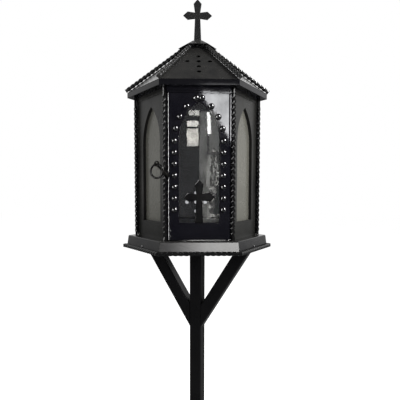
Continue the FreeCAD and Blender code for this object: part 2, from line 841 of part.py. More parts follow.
lintelAcross = ("-lintelHalf", "lintelHalf")
lintelInside = ("-lintelHalf - overrun", "lintelHalf + overrun")
lintelBack = "-faceFlat - ringSheet"
lintel = block(lintelAcross, ("-doorFront", lintelBack), ("lintelFoot", "bodyTop"))
lintelNotch = block(lintelInside, ("-doorFront - overrun", "lintelStep - doorFront"),
                    ("lintelFoot - overrun", "lintelFoot + lintelStepHigh"))
lintelUpper = block(lintelInside, ("lintelSheet - doorFront", f"{lintelBack} + overrun"),
                    ("lintelFoot + lintelStepHigh + lintelSheet", "bodyTop - lintelSheet"))
lintelLower = block(lintelInside, ("lintelStep + lintelSheet - doorFront", f"{lintelBack} + overrun"),
                    ("lintelFoot + lintelSheet", "bodyTop - lintelSheet"))
lintelHole = rod(pinHole, ("lintelFoot - overrun", "lintelFoot + lintelSheet + overrun / 2"),
                 "pinAcross", "-pinAhead")
keep(cut(lintel, lintelNotch, lintelUpper, lintelLower, lintelHole), "door_lintel")


# Side panes and the clips that hold them

def clip_shape(face, rear):
    # a stepped clip beside a pane's right edge, from the sheet's inner face over the pane's rear
    edge = value("glassHalf + holePlay")
    sheet = value("clipSheet")
    foot = edge + sheet + value("clipFoot")
    lip = edge - value("clipLip")
    corners = ((lip, rear), (lip, rear + sheet), (edge + sheet, rear + sheet),
               (edge + sheet, face + sheet), (foot, face + sheet), (foot, face), (edge, face), (edge, rear))
    spots = [FreeCAD.Vector(across, ahead, 0) for across, ahead in corners]
    outline = Part.Face(Part.makePolygon(spots + [spots[0]]))
    return outline.extrude(FreeCAD.Vector(0, 0, value("clipWide")))


def four_clips(face, rear, turn):
    # two clips beside each edge of a pane, the left ones mirrored
    clip = clip_shape(face, rear)
    other = clip.mirror(FreeCAD.Vector(), FreeCAD.Vector(1, 0, 0))
    levels = (value("windowFoot + clipUp"), value("windowSpring - clipUp"))
    return [moved(shape, turn, 0, 0, level) for shape in (clip, other) for level in levels]


for side, turn in sideTurns.items():
    pane = block(("-glassHalf", "glassHalf"),
                 ("revealDeep - faceFlat", "revealDeep + glassThick - faceFlat"),
                 ("glassFoot", "glassFoot + glassHigh"), turn=turn)
    keep(pane, "glass_" + side)

paneClips = []
for turn in sideTurns.values():
    paneClips += four_clips(value("panelSheet - faceFlat"),
                            value("revealDeep + glassThick - faceFlat"), value(turn))
shaped("glass_clips", paneClips)

# Loose candle tray

keep(cut(hexagon("trayFlat", ("floorTop", "floorTop + trayHigh")),
         hexagon("trayFlat - traySheet", ("floorTop + traySheet", "floorTop + trayHigh + overrun"))),
     "candle_tray")

# Door leaf: a shallow pan with rounded upright edges

doorLeaf = body("folded_leaf")
outline = sketch_on(doorLeaf, "XZ_Plane", "doorFront")
draw_outline(outline, rectangle("doorHalf", "doorFoot", "doorTop"))
leafPad = pad(doorLeaf, outline, "doorDeep", back=True)
frontPlane = -value("doorFront")
leafRound = round_edges(doorLeaf, leafPad, "doorRound", lambda edge: along(edge, upright)
                        and abs(edge.CenterOfMass.y - frontPlane) < value("seatGap"))
doc.recompute()
rearFace = min(range(len(leafRound.Shape.Faces)),
               key=lambda number: -leafRound.Shape.Faces[number].CenterOfMass.y)
leafShell = doorLeaf.newObject("PartDesign::Thickness", "folded_sheet")
leafShell.Base = (leafRound, [f"Face{rearFace + 1}"])
leafShell.Reversed = True
bind(leafShell, "Value", "doorSheet")
opening = sketch_on(doorLeaf, "XZ_Plane", "doorFront")
draw_outline(opening, *gothic("0"))
pocket(doorLeaf, opening)
pinBores = sketch_on(doorLeaf, "XY_Plane", "doorFoot - overrun")
draw_circle(pinBores, pinHole, "pinAcross", "-pinAhead")
pocket(doorLeaf, pinBores, back=True)
rivetAcross = "catchTongueAt + rivetIn"
rivetLevels = ("catchFoot + rivetUp", "catchFoot + rivetUp + rivetStep")
rivetHoles = [lying_hole("rivetSize / 2 + holePlay", screwSides, f"-({rivetAcross})", "-doorFront", level)
              for level in rivetLevels]
keep(cut(doorLeaf, *rivetHoles), "door_leaf")

# Door pane, clips and hinge pins

paneFront = "doorSheet - doorFront"
keep(block(("-glassHalf", "glassHalf"), (paneFront, f"{paneFront} + glassThick"),
           ("glassFoot", "glassFoot + glassHigh")), "door_glass")
shaped("door_glass_clips", four_clips(value(paneFront), value(f"{paneFront} + glassThick"), 0))
keep(rod("pinSize / 2", ("doorTop - pinLong", "doorTop + pinUp"), "pinAcross", "-pinAhead"), "door_pin_top")
keep(rod("pinSize / 2", ("doorFoot - pinDown", "doorFoot + pinLong"), "pinAcross", "-pinAhead"),
     "door_pin_bottom")
washer = rod("washerSize / 2", ("floorTop", "floorTop + washerThick"), "pinAcross", "-pinAhead")
washerHole = rod(pinHole, ("floorTop - overrun", "floorTop + overrun"), "pinAcross", "-pinAhead")
keep(cut(washer, washerHole), "door_washer")

# Half-ball studs up both sides of the window and along its arch

sideStudCount = 7
archStudCount = 4
stud = lying(dome(value("studSize / 2"), value("studSize / 2"), studSides, 3))
studSpots = [(value("windowWidth / 2 + studOut"), value(f"windowFoot + studLow + {number} * studStep"))
             for number in range(sideStudCount)]
studArch = value("archRadius + studOut")
for number in range(1, archStudCount + 1):
    angle = value(f"{number} * archStudStep - archStudStart") / studArch
    studSpots.append((studArch * math.cos(angle) - value("archShift"),
                      value("windowSpring") + studArch * math.sin(angle)))
shaped("door_studs", [moved(stud, 0, side * across, -value("doorFront"), up)
                      for across, up in studSpots for side in (-1, 1)])

# Spring catch riveted inside the door's lower left corner

catchBase = block(("-catchTongueAt - catchWide", "catchSheet - catchTongueAt"),
                  (paneFront, f"{paneFront} + catchSheet"), ("catchFoot", "catchFoot + catchHigh"))
catchTongue = block(("-catchTongueAt", "catchSheet - catchTongueAt"),
                    (paneFront, f"{paneFront} + catchTongue"),
                    ("catchFoot + catchHigh - catchTongueHigh", "catchFoot + catchHigh"))
catchHoles = [lying_hole("rivetSize / 2 + holePlay", screwSides, f"-({rivetAcross})", paneFront, level)
              for level in rivetLevels]
keep(cut(fuse(catchBase, catchTongue), *catchHoles), "door_catch_spring")

rivetHead = dome(value("rivetHead / 2"), value("rivetHead / 4"), screwSides, 2)
rivetLong = value("doorSheet + catchSheet")
rivet = rivetHead.fuse([prism_between(screwSides, value("rivetSize / 2"), -rivetLong, 0),
                        prism_between(screwSides, value("rivetHead / 2"),
                                      -rivetLong - value("rivetHead / 4"), -rivetLong)]).removeSplitter()
shaped("door_catch_rivets", [moved(lying(rivet), 0, -value(rivetAcross), -value("doorFront"), value(level))
                             for level in rivetLevels])

# Lug with its eye, coped on the door's rounded left edge, and the ring that hangs in it

lug = body("lug_strap", turn="180 + lugTurn", level="lanternLevel + eyeLevel")
bind(lug, "Placement.Base.x", "-eyeAcross")
bind(lug, "Placement.Base.y", "-eyeAhead")
run = "(lugOut + lugRoot)"
tall = "(lugStrip / 2 / cos(lugSlope))"
strap = sketch_on(lug, "XZ_Plane", "0")
draw_outline(strap, [("0", f"-{tall}"), ("0", tall), (f"-{run}", f"{tall} - {run} * tan(lugSlope)"),
                     (f"-{run}", f"-{tall} - {run} * tan(lugSlope)")])
pad(lug, strap, "lugThick", middle=True)
rim = sketch_on(lug, "XZ_Plane", "0")
draw_circle(rim, "eyeSize / 2 + eyeRim", "0", "0")
pad(lug, rim, "lugThick", middle=True)
eye = sketch_on(lug, "XZ_Plane", "0")
draw_circle(eye, "eyeSize / 2", "0", "0")
pocket(lug, eye, "lugThick + overrun", middle=True)
doorCorner = rod("doorRound + seatGap", ("doorFoot", "doorTop"),
                 "doorRound - doorHalf", "doorRound - doorFront")
keep(cut(lug, doorCorner), "door_lug")

pullTurns = 20
wireSides = 8
pullSections = []
for number in range(pullTurns):
    angle = 2 * math.pi * number / pullTurns
    circle = ring_of_points(wireSides, value("pullWire / 2"), 0)
    outward = FreeCAD.Vector(math.cos(angle), 0, math.sin(angle))
    pullSections.append([outward * (value("pullRadius") + spot.x) + FreeCAD.Vector(0, spot.y, 0)
                         for spot in circle])
pullRing = skin(pullSections, looped=True)
pullRing.Placement = FreeCAD.Placement(
    FreeCAD.Vector(-value("eyeAcross"), -value("eyeAhead"), value("pullLevel - pullRadius")),
    FreeCAD.Rotation(upright, value("lugTurn + pullTurn") - 90))
shaped("pull_ring", [pullRing])


# Crosses with pointed, flared arms

def cross_outline(centre, drop):
    top = f"{centre} + crossRise"
    foot = f"{centre} - {drop}"
    neck, arm, flare = "crossNeck / 2", "crossArm / 2", "crossFlare / 2"
    shoulder = "crossReach - crossPoint"
    right = [("crossFootWide / 2", foot), (neck, f"{centre} - {arm}"), (shoulder, f"{centre} - {flare}"),
             ("crossReach", centre), (shoulder, f"{centre} + {flare}"), (neck, f"{centre} + {arm}"),
             (flare, f"{top} - crossPoint")]
    left = [(f"-({across})", up) for across, up in reversed(right) if across != "crossReach"]
    left.insert(left.index((f"-({shoulder})", f"{centre} + {flare}")) + 1, ("-crossReach", centre))
    return right + [("0", top)] + left


def bevel_faces(owner, feature, both):
    # bevels the front outline of a cross, and the rear one where it shows
    doc.recompute()
    fronts = [(face.CenterOfMass.y, f"Face{number}") for number, face in enumerate(feature.Shape.Faces, 1)
              if abs(face.normalAt(0, 0).y) > 0.999]
    fronts.sort()
    bevel = owner.newObject("PartDesign::Chamfer", "bevel")
    bevel.Base = (feature, [fronts[0][1], fronts[-1][1]] if both else [fronts[0][1]])
    bind(bevel, "Size", "crossBevel")


doorCross = body("door_cross")
outline = sketch_on(doorCross, "XZ_Plane", "doorFront - doorSheet + seatGap")
draw_outline(outline, cross_outline("(windowFoot + seatGap + doorCrossDrop)", "doorCrossDrop"))
bevel_faces(doorCross, pad(doorCross, outline, "crossThick"), both=False)
keep(doorCross, "door_cross")

finial = body("finial_cross")
outline = sketch_on(finial, "XZ_Plane", "0")
draw_outline(outline, cross_outline("(capTop + finialDrop)", "finialDrop"))
bevel_faces(finial, pad(finial, outline, "crossThick", middle=True), both=True)
studRound = sketch_on(finial, "XY_Plane", "capTop")
draw_circle(studRound, "finialStud / 2", "0", "0")
pad(finial, studRound, "finialStudLong", back=True)
keep(finial, "finial_cross")

# Eave plate, a hexagonal pan whose rim is the fascia

eaveHoles = [screw_hole(screwHole, ("bodyTop - overrun", "bodyTop + eaveSheet + overrun"),
                        "ringMiddle", "0", str(turn)) for turn in ringScrewTurns]
eaveFlat = "eaveRadius * cos(30)"
keep(cut(hexagon(eaveFlat, ("bodyTop", "roofFoot")),
         hexagon(f"{eaveFlat} - eaveRim", ("bodyTop + eaveSheet", "roofFoot + overrun")),
         hexagon("eaveHole * cos(30)", ("bodyTop - overrun", "roofFoot + overrun")), *eaveHoles),
     "eave_plate")

# Roof shell with its cross of vents in the front slope

hipFall = "roofRise / roofRadius"
roofOuter = frustum(("roofRadius", "roofFoot"), ("roofHole", f"roofApex - roofHole * {hipFall}"))
innerFoot = f"roofRadius - roofFall / ({hipFall})"
roofInner = frustum((innerFoot, "roofFoot"),
                    (f"roofHole - roofFall / ({hipFall})", f"roofApex - roofHole * {hipFall}"))
roofVents = []
for across, up in ventCross:
    vent = doc.addObject("Part::Prism", "roof_vent")
    vent.Polygon = ventSides
    bind(vent, "Circumradius", f"ventSize / 2 / cos(180 / {ventSides})")
    bind(vent, "Height", "2 * overrun")
    vent.Placement.Rotation = FreeCAD.Rotation(FreeCAD.Vector(1, 0, 0), value("roofPitch"))
    bind(vent, "Placement.Rotation.Angle", "roofPitch")
    slope = f"(roofVentUp + {up} * ventStep)"
    bind(vent, "Placement.Base.x", f"{across} * ventStep")
    bind(vent, "Placement.Base.y",
         f"{slope} * cos(roofPitch) + overrun * sin(roofPitch) - roofRadius * cos(30)")
    bind(vent, "Placement.Base.z",
         f"lanternLevel + roofFoot + {slope} * sin(roofPitch) - overrun * cos(roofPitch)")
    roofVents.append(vent)
keep(cut(roofOuter, roofInner, *roofVents), "roof_shell")

# Hip bars

hipPitch = math.radians(value("hipPitch"))
hipBar = twisted_bar(value("(roofRadius - hipEnd) / cos(hipPitch)"), otherSteps)
hipBar.rotate(FreeCAD.Vector(), upright, 45)
hipBar.Placement = FreeCAD.Placement(
    FreeCAD.Vector(value("roofRadius + hipLift * sin(hipPitch)"), 0,
                   value("roofFoot + hipLift * cos(hipPitch)")),
    FreeCAD.Rotation(FreeCAD.Vector(0, 1, 0), value("hipPitch") - 90)).multiply(hipBar.Placement)
for corner, turn in cornerTurns.items():
    shaped("hip_bar_" + corner, [moved(hipBar, turn, 0, 0, 0)])

# Cap, its cross's nut, and the screws and nuts that hold the roof

capRings = (("capRadius", "capFoot"), ("capMidRadius", "capFoot + capMidRise"), ("capTopRadius", "capTop"))
capHollow = [(radius, f"{level} - capWall") for radius, level in capRings]
capStudHole = rod("finialStud / 2 + holePlay", ("capFoot", "capTop + overrun"))
capFloor = hexagon("capRadius", ("capFoot - capSheet - overrun", "capFoot"))
keep(cut(frustum(*capRings), frustum(*capHollow), capFloor, capStudHole), "cap")
finialNut = nut(value("finialNutWide"), value("finialNutHigh"), value("finialStud / 2 + seatGap"))
shaped("finial_nut", [moved(finialNut, 0, 0, 0, value("capTop - capWall - finialNutHigh - seatGap"))])

roofScrewLong = value("ringSheet + eaveSheet + roofNutHigh + holePlay")
roofScrew = prism_between(screwSides, value("roofScrewHead / 2"), -value("roofScrewHeadHigh"), 0).fuse(
    prism_between(screwSides, value("roofScrewSize / 2"), 0, roofScrewLong)).removeSplitter()
roofNut = nut(value("roofNutWide"), value("roofNutHigh"), value("roofScrewSize / 2 + seatGap"))
ringMiddle = value("ringMiddle")
shaped("roof_screws", [moved(roofScrew, turn, ringMiddle, 0, value("bodyTop - ringSheet"))
                       for turn in ringScrewTurns])
shaped("roof_nuts", [moved(roofNut, turn, ringMiddle, 0, value("bodyTop + eaveSheet"))
                     for turn in ringScrewTurns])

# Check everything and write one file for each sub-part

doc.recompute()
failed = [item.Label for item in doc.Objects if {"Invalid", "Error"} & set(item.State)]
failed += [item.Label for item in pieces if item.Shape.isNull() or not item.Shape.isValid()]
if failed:
    raise RuntimeError("these failed: " + ", ".join(failed))
os.makedirs("parts", exist_ok=True)
for item in pieces:
    item.Shape.exportStep(f"parts/{item.Label}.step")
print(f"{len(pieces)} sub-parts written")
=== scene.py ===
import json
import math

import bmesh
import bpy
from mathutils import Matrix, Vector

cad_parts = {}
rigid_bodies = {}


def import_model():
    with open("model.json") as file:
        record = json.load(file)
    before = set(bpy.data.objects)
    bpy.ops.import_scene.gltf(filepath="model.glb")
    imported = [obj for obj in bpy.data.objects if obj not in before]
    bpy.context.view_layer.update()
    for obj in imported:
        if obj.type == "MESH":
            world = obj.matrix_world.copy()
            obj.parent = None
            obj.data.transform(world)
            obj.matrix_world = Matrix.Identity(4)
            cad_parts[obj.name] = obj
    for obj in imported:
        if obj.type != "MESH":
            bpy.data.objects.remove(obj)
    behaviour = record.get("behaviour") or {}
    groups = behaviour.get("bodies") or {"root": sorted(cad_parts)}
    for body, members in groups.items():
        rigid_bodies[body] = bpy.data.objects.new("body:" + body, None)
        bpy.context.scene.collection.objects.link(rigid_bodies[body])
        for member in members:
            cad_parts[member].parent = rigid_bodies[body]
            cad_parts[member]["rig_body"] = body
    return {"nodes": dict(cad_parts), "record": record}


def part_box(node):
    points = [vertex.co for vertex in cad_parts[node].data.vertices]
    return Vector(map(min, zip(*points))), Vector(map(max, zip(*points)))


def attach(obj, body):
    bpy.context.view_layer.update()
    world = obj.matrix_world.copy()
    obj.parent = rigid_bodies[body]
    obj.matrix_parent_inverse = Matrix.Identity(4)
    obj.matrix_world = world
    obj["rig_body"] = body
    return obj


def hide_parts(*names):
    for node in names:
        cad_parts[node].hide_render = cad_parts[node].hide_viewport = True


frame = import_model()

# Grave lantern on a forked post. Sizes in the dictionaries are millimetres and degrees;
# lamps, cards and textures are in metres.
mm = 0.001
sixth = math.pi / 3
nodes = frame["nodes"]
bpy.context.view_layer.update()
print("frame loaded:", len(nodes), "nodes")


# Camera, fitted to the corners of the lantern's hexagons

cameraView = {
    "place": (-26, -926.8, 767.25),
    "turnRight": 1.95,
    "lookDown": 4.48,
    "roll": 0.1,
    "lens": 40.26,
    "shiftUp": 0.0625,
}
cameraData = bpy.data.cameras.new("camera")
cameraData.lens = cameraView["lens"]
cameraData.sensor_width = 36
cameraData.shift_y = cameraView["shiftUp"]
cameraData.clip_start = 0.02
camera = bpy.data.objects.new("camera", cameraData)
bpy.context.scene.collection.objects.link(camera)
camera.matrix_world = (Matrix.Translation(Vector(cameraView["place"]) * mm)
                       @ Matrix.Rotation(math.radians(-cameraView["turnRight"]), 4, "Z")
                       @ Matrix.Rotation(math.radians(90 - cameraView["lookDown"]), 4, "X")
                       @ Matrix.Rotation(math.radians(cameraView["roll"]), 4, "Z"))
bpy.context.scene.camera = camera
bpy.context.scene.view_settings.view_transform = "Standard"
print("camera set")


# Material helpers

def newMaterial(name):
    material = bpy.data.materials.new(name)
    material.use_nodes = True
    tree = material.node_tree
    return material, tree, tree.nodes["Principled BSDF"]


def addNode(tree, kind, inputs=None, **settings):
    node = tree.nodes.new(kind)
    for key, setting in settings.items():
        setattr(node, key, setting)
    for key, given in (inputs or {}).items():
        if isinstance(given, bpy.types.NodeSocket):
            tree.links.new(given, node.inputs[key])
        else:
            node.inputs[key].default_value = given
    return node


def noiseOn(tree, scale, detail=3, roughness=0.5, stretch=(1, 1, 1), distortion=0):
    # noise on the object's own coordinates, in metres
    spot = addNode(tree, "ShaderNodeTexCoord").outputs["Object"]
    mapped = addNode(tree, "ShaderNodeMapping", {"Vector": spot, "Scale": stretch}).outputs["Vector"]
    return addNode(tree, "ShaderNodeTexNoise", {
        "Vector": mapped, "Scale": scale, "Detail": detail, "Roughness": roughness,
        "Distortion": distortion}).outputs["Fac"]


def rangeOf(tree, source, low, high, fromLow=0.3, fromHigh=0.7):
    return addNode(tree, "ShaderNodeMapRange", {
        "Value": source, "From Min": fromLow, "From Max": fromHigh,
        "To Min": low, "To Max": high}).outputs["Result"]


def mixColour(tree, share, first, second):
    node = addNode(tree, "ShaderNodeMix", data_type="RGBA")
    for key, given in ((0, share), (6, first), (7, second)):
        if isinstance(given, bpy.types.NodeSocket):
            tree.links.new(given, node.inputs[key])
        else:
            node.inputs[key].default_value = given if key == 0 else (*given, 1)
    return node.outputs[2]


def addBump(tree, shader, layers):
    # layers of (height, distance, strength), one on top of the other
    normal = None
    for height, distance, strength in layers:
        bump = addNode(tree, "ShaderNodeBump", {
            "Height": height, "Distance": distance, "Strength": strength})
        if normal:
            tree.links.new(normal, bump.inputs["Normal"])
        normal = bump.outputs["Normal"]
    tree.links.new(normal, shader.inputs["Normal"])


def facingUp(tree, low, high):
    # 1 on what faces up, where dust settles
    normal = addNode(tree, "ShaderNodeNewGeometry").outputs["Normal"]
    up = addNode(tree, "ShaderNodeSeparateXYZ", {"Vector": normal}).outputs["Z"]
    return rangeOf(tree, up, 0, 1, low, high)


def mathNode(tree, operation, *terms):
    return addNode(tree, "ShaderNodeMath", dict(enumerate(terms)), operation=operation).outputs[0]


def product(tree, first, second):
    return mathNode(tree, "MULTIPLY", first, second)


def linkNew(item):
    # makes a new object part of the scene
    bpy.context.scene.collection.objects.link(item)
    return item


# Paints: clouded black with dust on top, smears in the roughness, and waves and peel in the surface

texture = {
    "dust": 60, "dustColour": (0.20, 0.19, 0.17), "dustRough": 0.5, "dustFrom": 0.35, "dustTo": 0.95,
    "smear": 14, "wave": 9, "waveDeep": 0.0022, "peel": 130, "peelDeep": 0.00012, "grit": 420,
    "gritDeep": 0.00004, "index": 1.5,
}


def blackPaint(name, paint):
    material, tree, shader = newMaterial(name)
    cloud = noiseOn(tree, paint["cloudScale"], 4, 0.6)
    grit = noiseOn(tree, texture["grit"], 2)
    dust = product(tree, facingUp(tree, texture["dustFrom"], texture["dustTo"]),
                   rangeOf(tree, noiseOn(tree, texture["dust"], 5, 0.7), 0, paint["dust"]))
    bare = mixColour(tree, rangeOf(tree, cloud, 0, 1), paint["dark"], paint["light"])
    tree.links.new(mixColour(tree, dust, bare, texture["dustColour"]), shader.inputs["Base Color"])
    smear = rangeOf(tree, noiseOn(tree, texture["smear"], 5, 0.65, (1, 1, 0.35), 0.6), *paint["roughness"],
                    0.35, 0.75)
    rough = mathNode(tree, "ADD", smear, product(tree, dust, texture["dustRough"]))
    tree.links.new(rough, shader.inputs["Roughness"])
    shader.inputs["IOR"].default_value = texture["index"]
    shader.inputs["Specular IOR Level"].default_value = paint["gleam"]
    addBump(tree, shader, [(noiseOn(tree, texture["wave"], 2), texture["waveDeep"], paint["wave"]),
                           (noiseOn(tree, texture["peel"], 2), texture["peelDeep"], paint["peel"]),
                           (grit, texture["gritDeep"], paint["peel"])])
    return material


glossPaint = blackPaint("gloss_black_paint", {
    "dark": (0.003, 0.003, 0.006), "light": (0.008, 0.008, 0.011), "cloudScale": 18, "dust": 0.10,
    "roughness": (0.02, 0.06), "gleam": 0.6, "wave": 0.10, "peel": 0.12})
eavePaint = blackPaint("eave_black_paint", {
    "dark": (0.005, 0.005, 0.007), "light": (0.010, 0.010, 0.012), "cloudScale": 18, "dust": 0.10,
    "roughness": (0.05, 0.12), "gleam": 0.12, "wave": 0.10, "peel": 0.12})
studPaint = blackPaint("stud_black_paint", {
    "dark": (0.005, 0.005, 0.007), "light": (0.009, 0.009, 0.011), "cloudScale": 90, "dust": 0.08,
    "roughness": (0.03, 0.06), "gleam": 0.9, "wave": 0.0, "peel": 0.05})
skirtPaint = blackPaint("skirt_black_paint", {
    "dark": (0.005, 0.005, 0.006), "light": (0.011, 0.011, 0.011), "cloudScale": 16, "dust": 0.10,
    "roughness": (0.18, 0.23), "gleam": 0.08, "wave": 0.12, "peel": 0.2})
panelPaint = blackPaint("satin_black_paint", {
    "dark": (0.016, 0.016, 0.0155), "light": (0.027, 0.027, 0.025), "cloudScale": 12, "dust": 0.12,
    "roughness": (0.26, 0.40), "gleam": 0.12, "wave": 0.14, "peel": 0.35})
roofPaint = blackPaint("roof_black_paint", {
    "dark": (0.016, 0.016, 0.017), "light": (0.027, 0.027, 0.027), "cloudScale": 14, "dust": 0.16,
    "roughness": (0.16, 0.30), "gleam": 0.5, "wave": 0.14, "peel": 0.35})
barPaint = blackPaint("bar_black_paint", {
    "dark": (0.005, 0.005, 0.006), "light": (0.011, 0.011, 0.011), "cloudScale": 60, "dust": 0.06,
    "roughness": (0.15, 0.25), "gleam": 0.12, "wave": 0.02, "peel": 0.3})
crossPaint = blackPaint("cross_black_paint", {
    "dark": (0.003, 0.003, 0.004), "light": (0.007, 0.007, 0.007), "cloudScale": 70, "dust": 0.05,
    "roughness": (0.12, 0.20), "gleam": 0.12, "wave": 0.03, "peel": 0.4})
wornPaint = blackPaint("worn_black_paint", {
    "dark": (0.003, 0.003, 0.003), "light": (0.008, 0.0075, 0.007), "cloudScale": 120, "dust": 0.04,
    "roughness": (0.25, 0.45), "gleam": 0.14, "wave": 0.0, "peel": 0.5})
postPaint = blackPaint("post_black_paint", {
    "dark": (0.005, 0.005, 0.0056), "light": (0.010, 0.010, 0.0106), "cloudScale": 10, "dust": 0.08,
    "roughness": (0.24, 0.36), "gleam": 0.08, "wave": 0.05, "peel": 0.4})


# Metals and glass

def bareMetal(name, metal):
    material, tree, shader = newMaterial(name)
    flake = noiseOn(tree, metal["flake"], 5, 0.7, distortion=0.4)
    tree.links.new(mixColour(tree, rangeOf(tree, flake, 0, 1), metal["dark"], metal["light"]),
                   shader.inputs["Base Color"])
    tree.links.new(rangeOf(tree, noiseOn(tree, 180, 4), *metal["roughness"]), shader.inputs["Roughness"])
    shader.inputs["Metallic"].default_value = 1
    addBump(tree, shader, [(flake, 0.00008, 0.3)])
    return material


zincMetal = bareMetal("zinc_plate", {
    "dark": (0.33, 0.33, 0.34), "light": (0.52, 0.52, 0.51), "flake": 240, "roughness": (0.28, 0.45)})
galvanised = bareMetal("galvanised_sheet", {
    "dark": (0.34, 0.35, 0.36), "light": (0.55, 0.55, 0.55), "flake": 90, "roughness": (0.34, 0.55)})
springSteel = bareMetal("spring_steel", {
    "dark": (0.20, 0.20, 0.20), "light": (0.36, 0.35, 0.34), "flake": 160, "roughness": (0.25, 0.45)})


def paneGlass(name, pane):
    material, tree, shader = newMaterial(name)
    film = noiseOn(tree, 22, 5, 0.65, (1, 1, 0.6), 0.5)
    tree.links.new(mixColour(tree, rangeOf(tree, film, 0, 1), pane["tint"], pane["film"]),
                   shader.inputs["Base Color"])
    tree.links.new(rangeOf(tree, film, *pane["roughness"]), shader.inputs["Roughness"])
    shader.inputs["Transmission Weight"].default_value = pane["clear"]
    shader.inputs["IOR"].default_value = texture["index"]
    shader.inputs["Specular IOR Level"].default_value = pane["gleam"]
    addBump(tree, shader, [(noiseOn(tree, 16, 2), 0.0006, 0.08)])
    return material


clearGlass = paneGlass("clear_glass", {
    "tint": (0.50, 0.51, 0.53), "film": (0.44, 0.45, 0.46), "roughness": (0.0, 0.03), "clear": 0.985,
    "gleam": 0.5})
milkGlass = paneGlass("milk_glass", {
    "tint": (0.147, 0.145, 0.127), "film": (0.125, 0.123, 0.107), "roughness": (0.24, 0.30), "clear": 0.08,
    "gleam": 0.15})
print("materials made")

finishes = {
    postPaint: ["foot_plate", "post", "brace_left", "brace_right", "stand_head"],
    glossPaint: ["bottom_plate", "front_frame", "door_lintel", "door_leaf"],
    eavePaint: ["eave_plate"],
    crossPaint: ["door_cross"],
    skirtPaint: ["base_box"],
    studPaint: ["door_studs", "door_catch_rivets"],
    panelPaint: ["panel_rear", "top_ring", "panel_left_front", "panel_right_front", "panel_left_rear",
                 "panel_right_rear"],
    roofPaint: ["roof_shell", "cap", "finial_cross"],
    barPaint: ["edge_bars"],
    wornPaint: ["door_lug", "pull_ring"],
    zincMetal: ["stand_bolts", "stand_nuts", "roof_screws", "roof_nuts", "finial_nut", "skirt_screws"],
    galvanised: ["candle_tray"],
    springSteel: ["glass_clips", "door_glass_clips", "door_catch_spring", "door_washer", "door_pin_top",
                  "door_pin_bottom"],
    clearGlass: ["door_glass"],
    milkGlass: ["glass_left_front", "glass_right_front", "glass_left_rear", "glass_right_rear"],
}
corners = ["front_left", "front_right", "right", "rear_right", "rear_left", "left"]
finishes[barPaint] += [kind + corner for kind in ("corner_bar_", "hip_bar_") for corner in corners]
for material, names in finishes.items():
    for name in names:
        nodes[name].data.materials.clear()
        nodes[name].data.materials.append(material)
print("finishes on", sum(map(len, finishes.values())), "nodes")


# Geometry Nodes helpers

def newTree(name, sockets):
    tree = bpy.data.node_groups.new(name, "GeometryNodeTree")
    tree.interface.new_socket("Geometry", in_out="INPUT", socket_type="NodeSocketGeometry")
    tree.interface.new_socket("Geometry", in_out="OUTPUT", socket_type="NodeSocketGeometry")
    for label, kind in sockets.items():
        tree.interface.new_socket(label, in_out="INPUT", socket_type="NodeSocket" + kind)
    return tree, tree.nodes.new("NodeGroupInput"), tree.nodes.new("NodeGroupOutput")


def bake(made, modifier):
    # keeps what the modifier makes as a plain mesh and takes the modifier off
    graph = bpy.context.evaluated_depsgraph_get()
    result = bpy.data.meshes.new_from_object(made.evaluated_get(graph), preserve_all_data_layers=True,
                                             depsgraph=graph)
    made.modifiers.remove(modifier)
    made.data = result
    result.name = made.name
    return made


def grow(name, tree, inputs, spots=()):
    # runs a tree on a few points and returns what it makes as a plain mesh object
    start = bpy.data.meshes.new(name)
    start.from_pydata([tuple(spot) for spot in spots] or [(0, 0, 0)], [], [])
    made = linkNew(bpy.data.objects.new(name, start))
    modifier = made.modifiers.new("grow", "NODES")
    modifier.node_group = tree
    for item in tree.interface.items_tree:
        if item.item_type == "SOCKET" and item.in_out == "INPUT" and item.name in inputs:
            modifier[item.identifier] = inputs[item.name]
    return bake(made, modifier)


def smooth(piece, angle=35):
    piece.data.shade_smooth()
    piece.data.set_sharp_from_angle(angle=math.radians(angle))
    return piece


def finishPiece(piece, body, slotName, *replaced):
    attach(piece, body)
    if replaced:
        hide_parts(*replaced)
    return piece


# Softened edges on the folded sheets, the tubes and the crosses

slotOf = {part["node"]: part["material_slot"] for part in frame["record"]["subparts"]}
edges = {
    "eave_plate": 0.5, "base_box": 0.4, "cap": 0.35, "door_lintel": 0.5, "bottom_plate": 0.5,
    "front_frame": 0.3, "roof_shell": 0.3, "finial_cross": 0.35, "post": 1.2, "brace_left": 1.0,
    "brace_right": 1.0, "stand_head": 0.8, "foot_plate": 0.8, "door_cross": 0.35, "door_leaf": 0.5,
}
sharpFrom = 30


def softEdges(name, width):
    # rounds the sharp edges of a carried-over piece, so that they catch a line of light
    source = nodes[name]
    shape = bmesh.new()
    shape.from_mesh(source.data)
    bmesh.ops.remove_doubles(shape, verts=shape.verts, dist=1e-6)
    bmesh.ops.dissolve_limit(shape, angle_limit=math.radians(1), verts=shape.verts, edges=shape.edges)
    sharp = [edge for edge in shape.edges
             if edge.is_manifold and edge.calc_face_angle() > math.radians(sharpFrom)]
    bmesh.ops.bevel(shape, geom=sharp, offset=width * mm, offset_type="OFFSET", segments=2, profile=0.5,
                    affect="EDGES", clamp_overlap=True)
    mesh = bpy.data.meshes.new(name + "_seen")
    shape.to_mesh(mesh)
    shape.free()
    piece = linkNew(bpy.data.objects.new(name + "_seen", mesh))
    mesh.materials.append(source.data.materials[0])
    smooth(piece, 50)
    weigh = piece.modifiers.new("weigh", "WEIGHTED_NORMAL")
    weigh.keep_sharp = True
    weigh.weight = 100
    return finishPiece(bake(piece, weigh), source["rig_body"], slotOf[name], name)


for name, width in edges.items():
    softEdges(name, width)
print("edges softened on", len(edges), "pieces")


# Twisted square bars: a square swept up a line with its tilt growing between plain ends

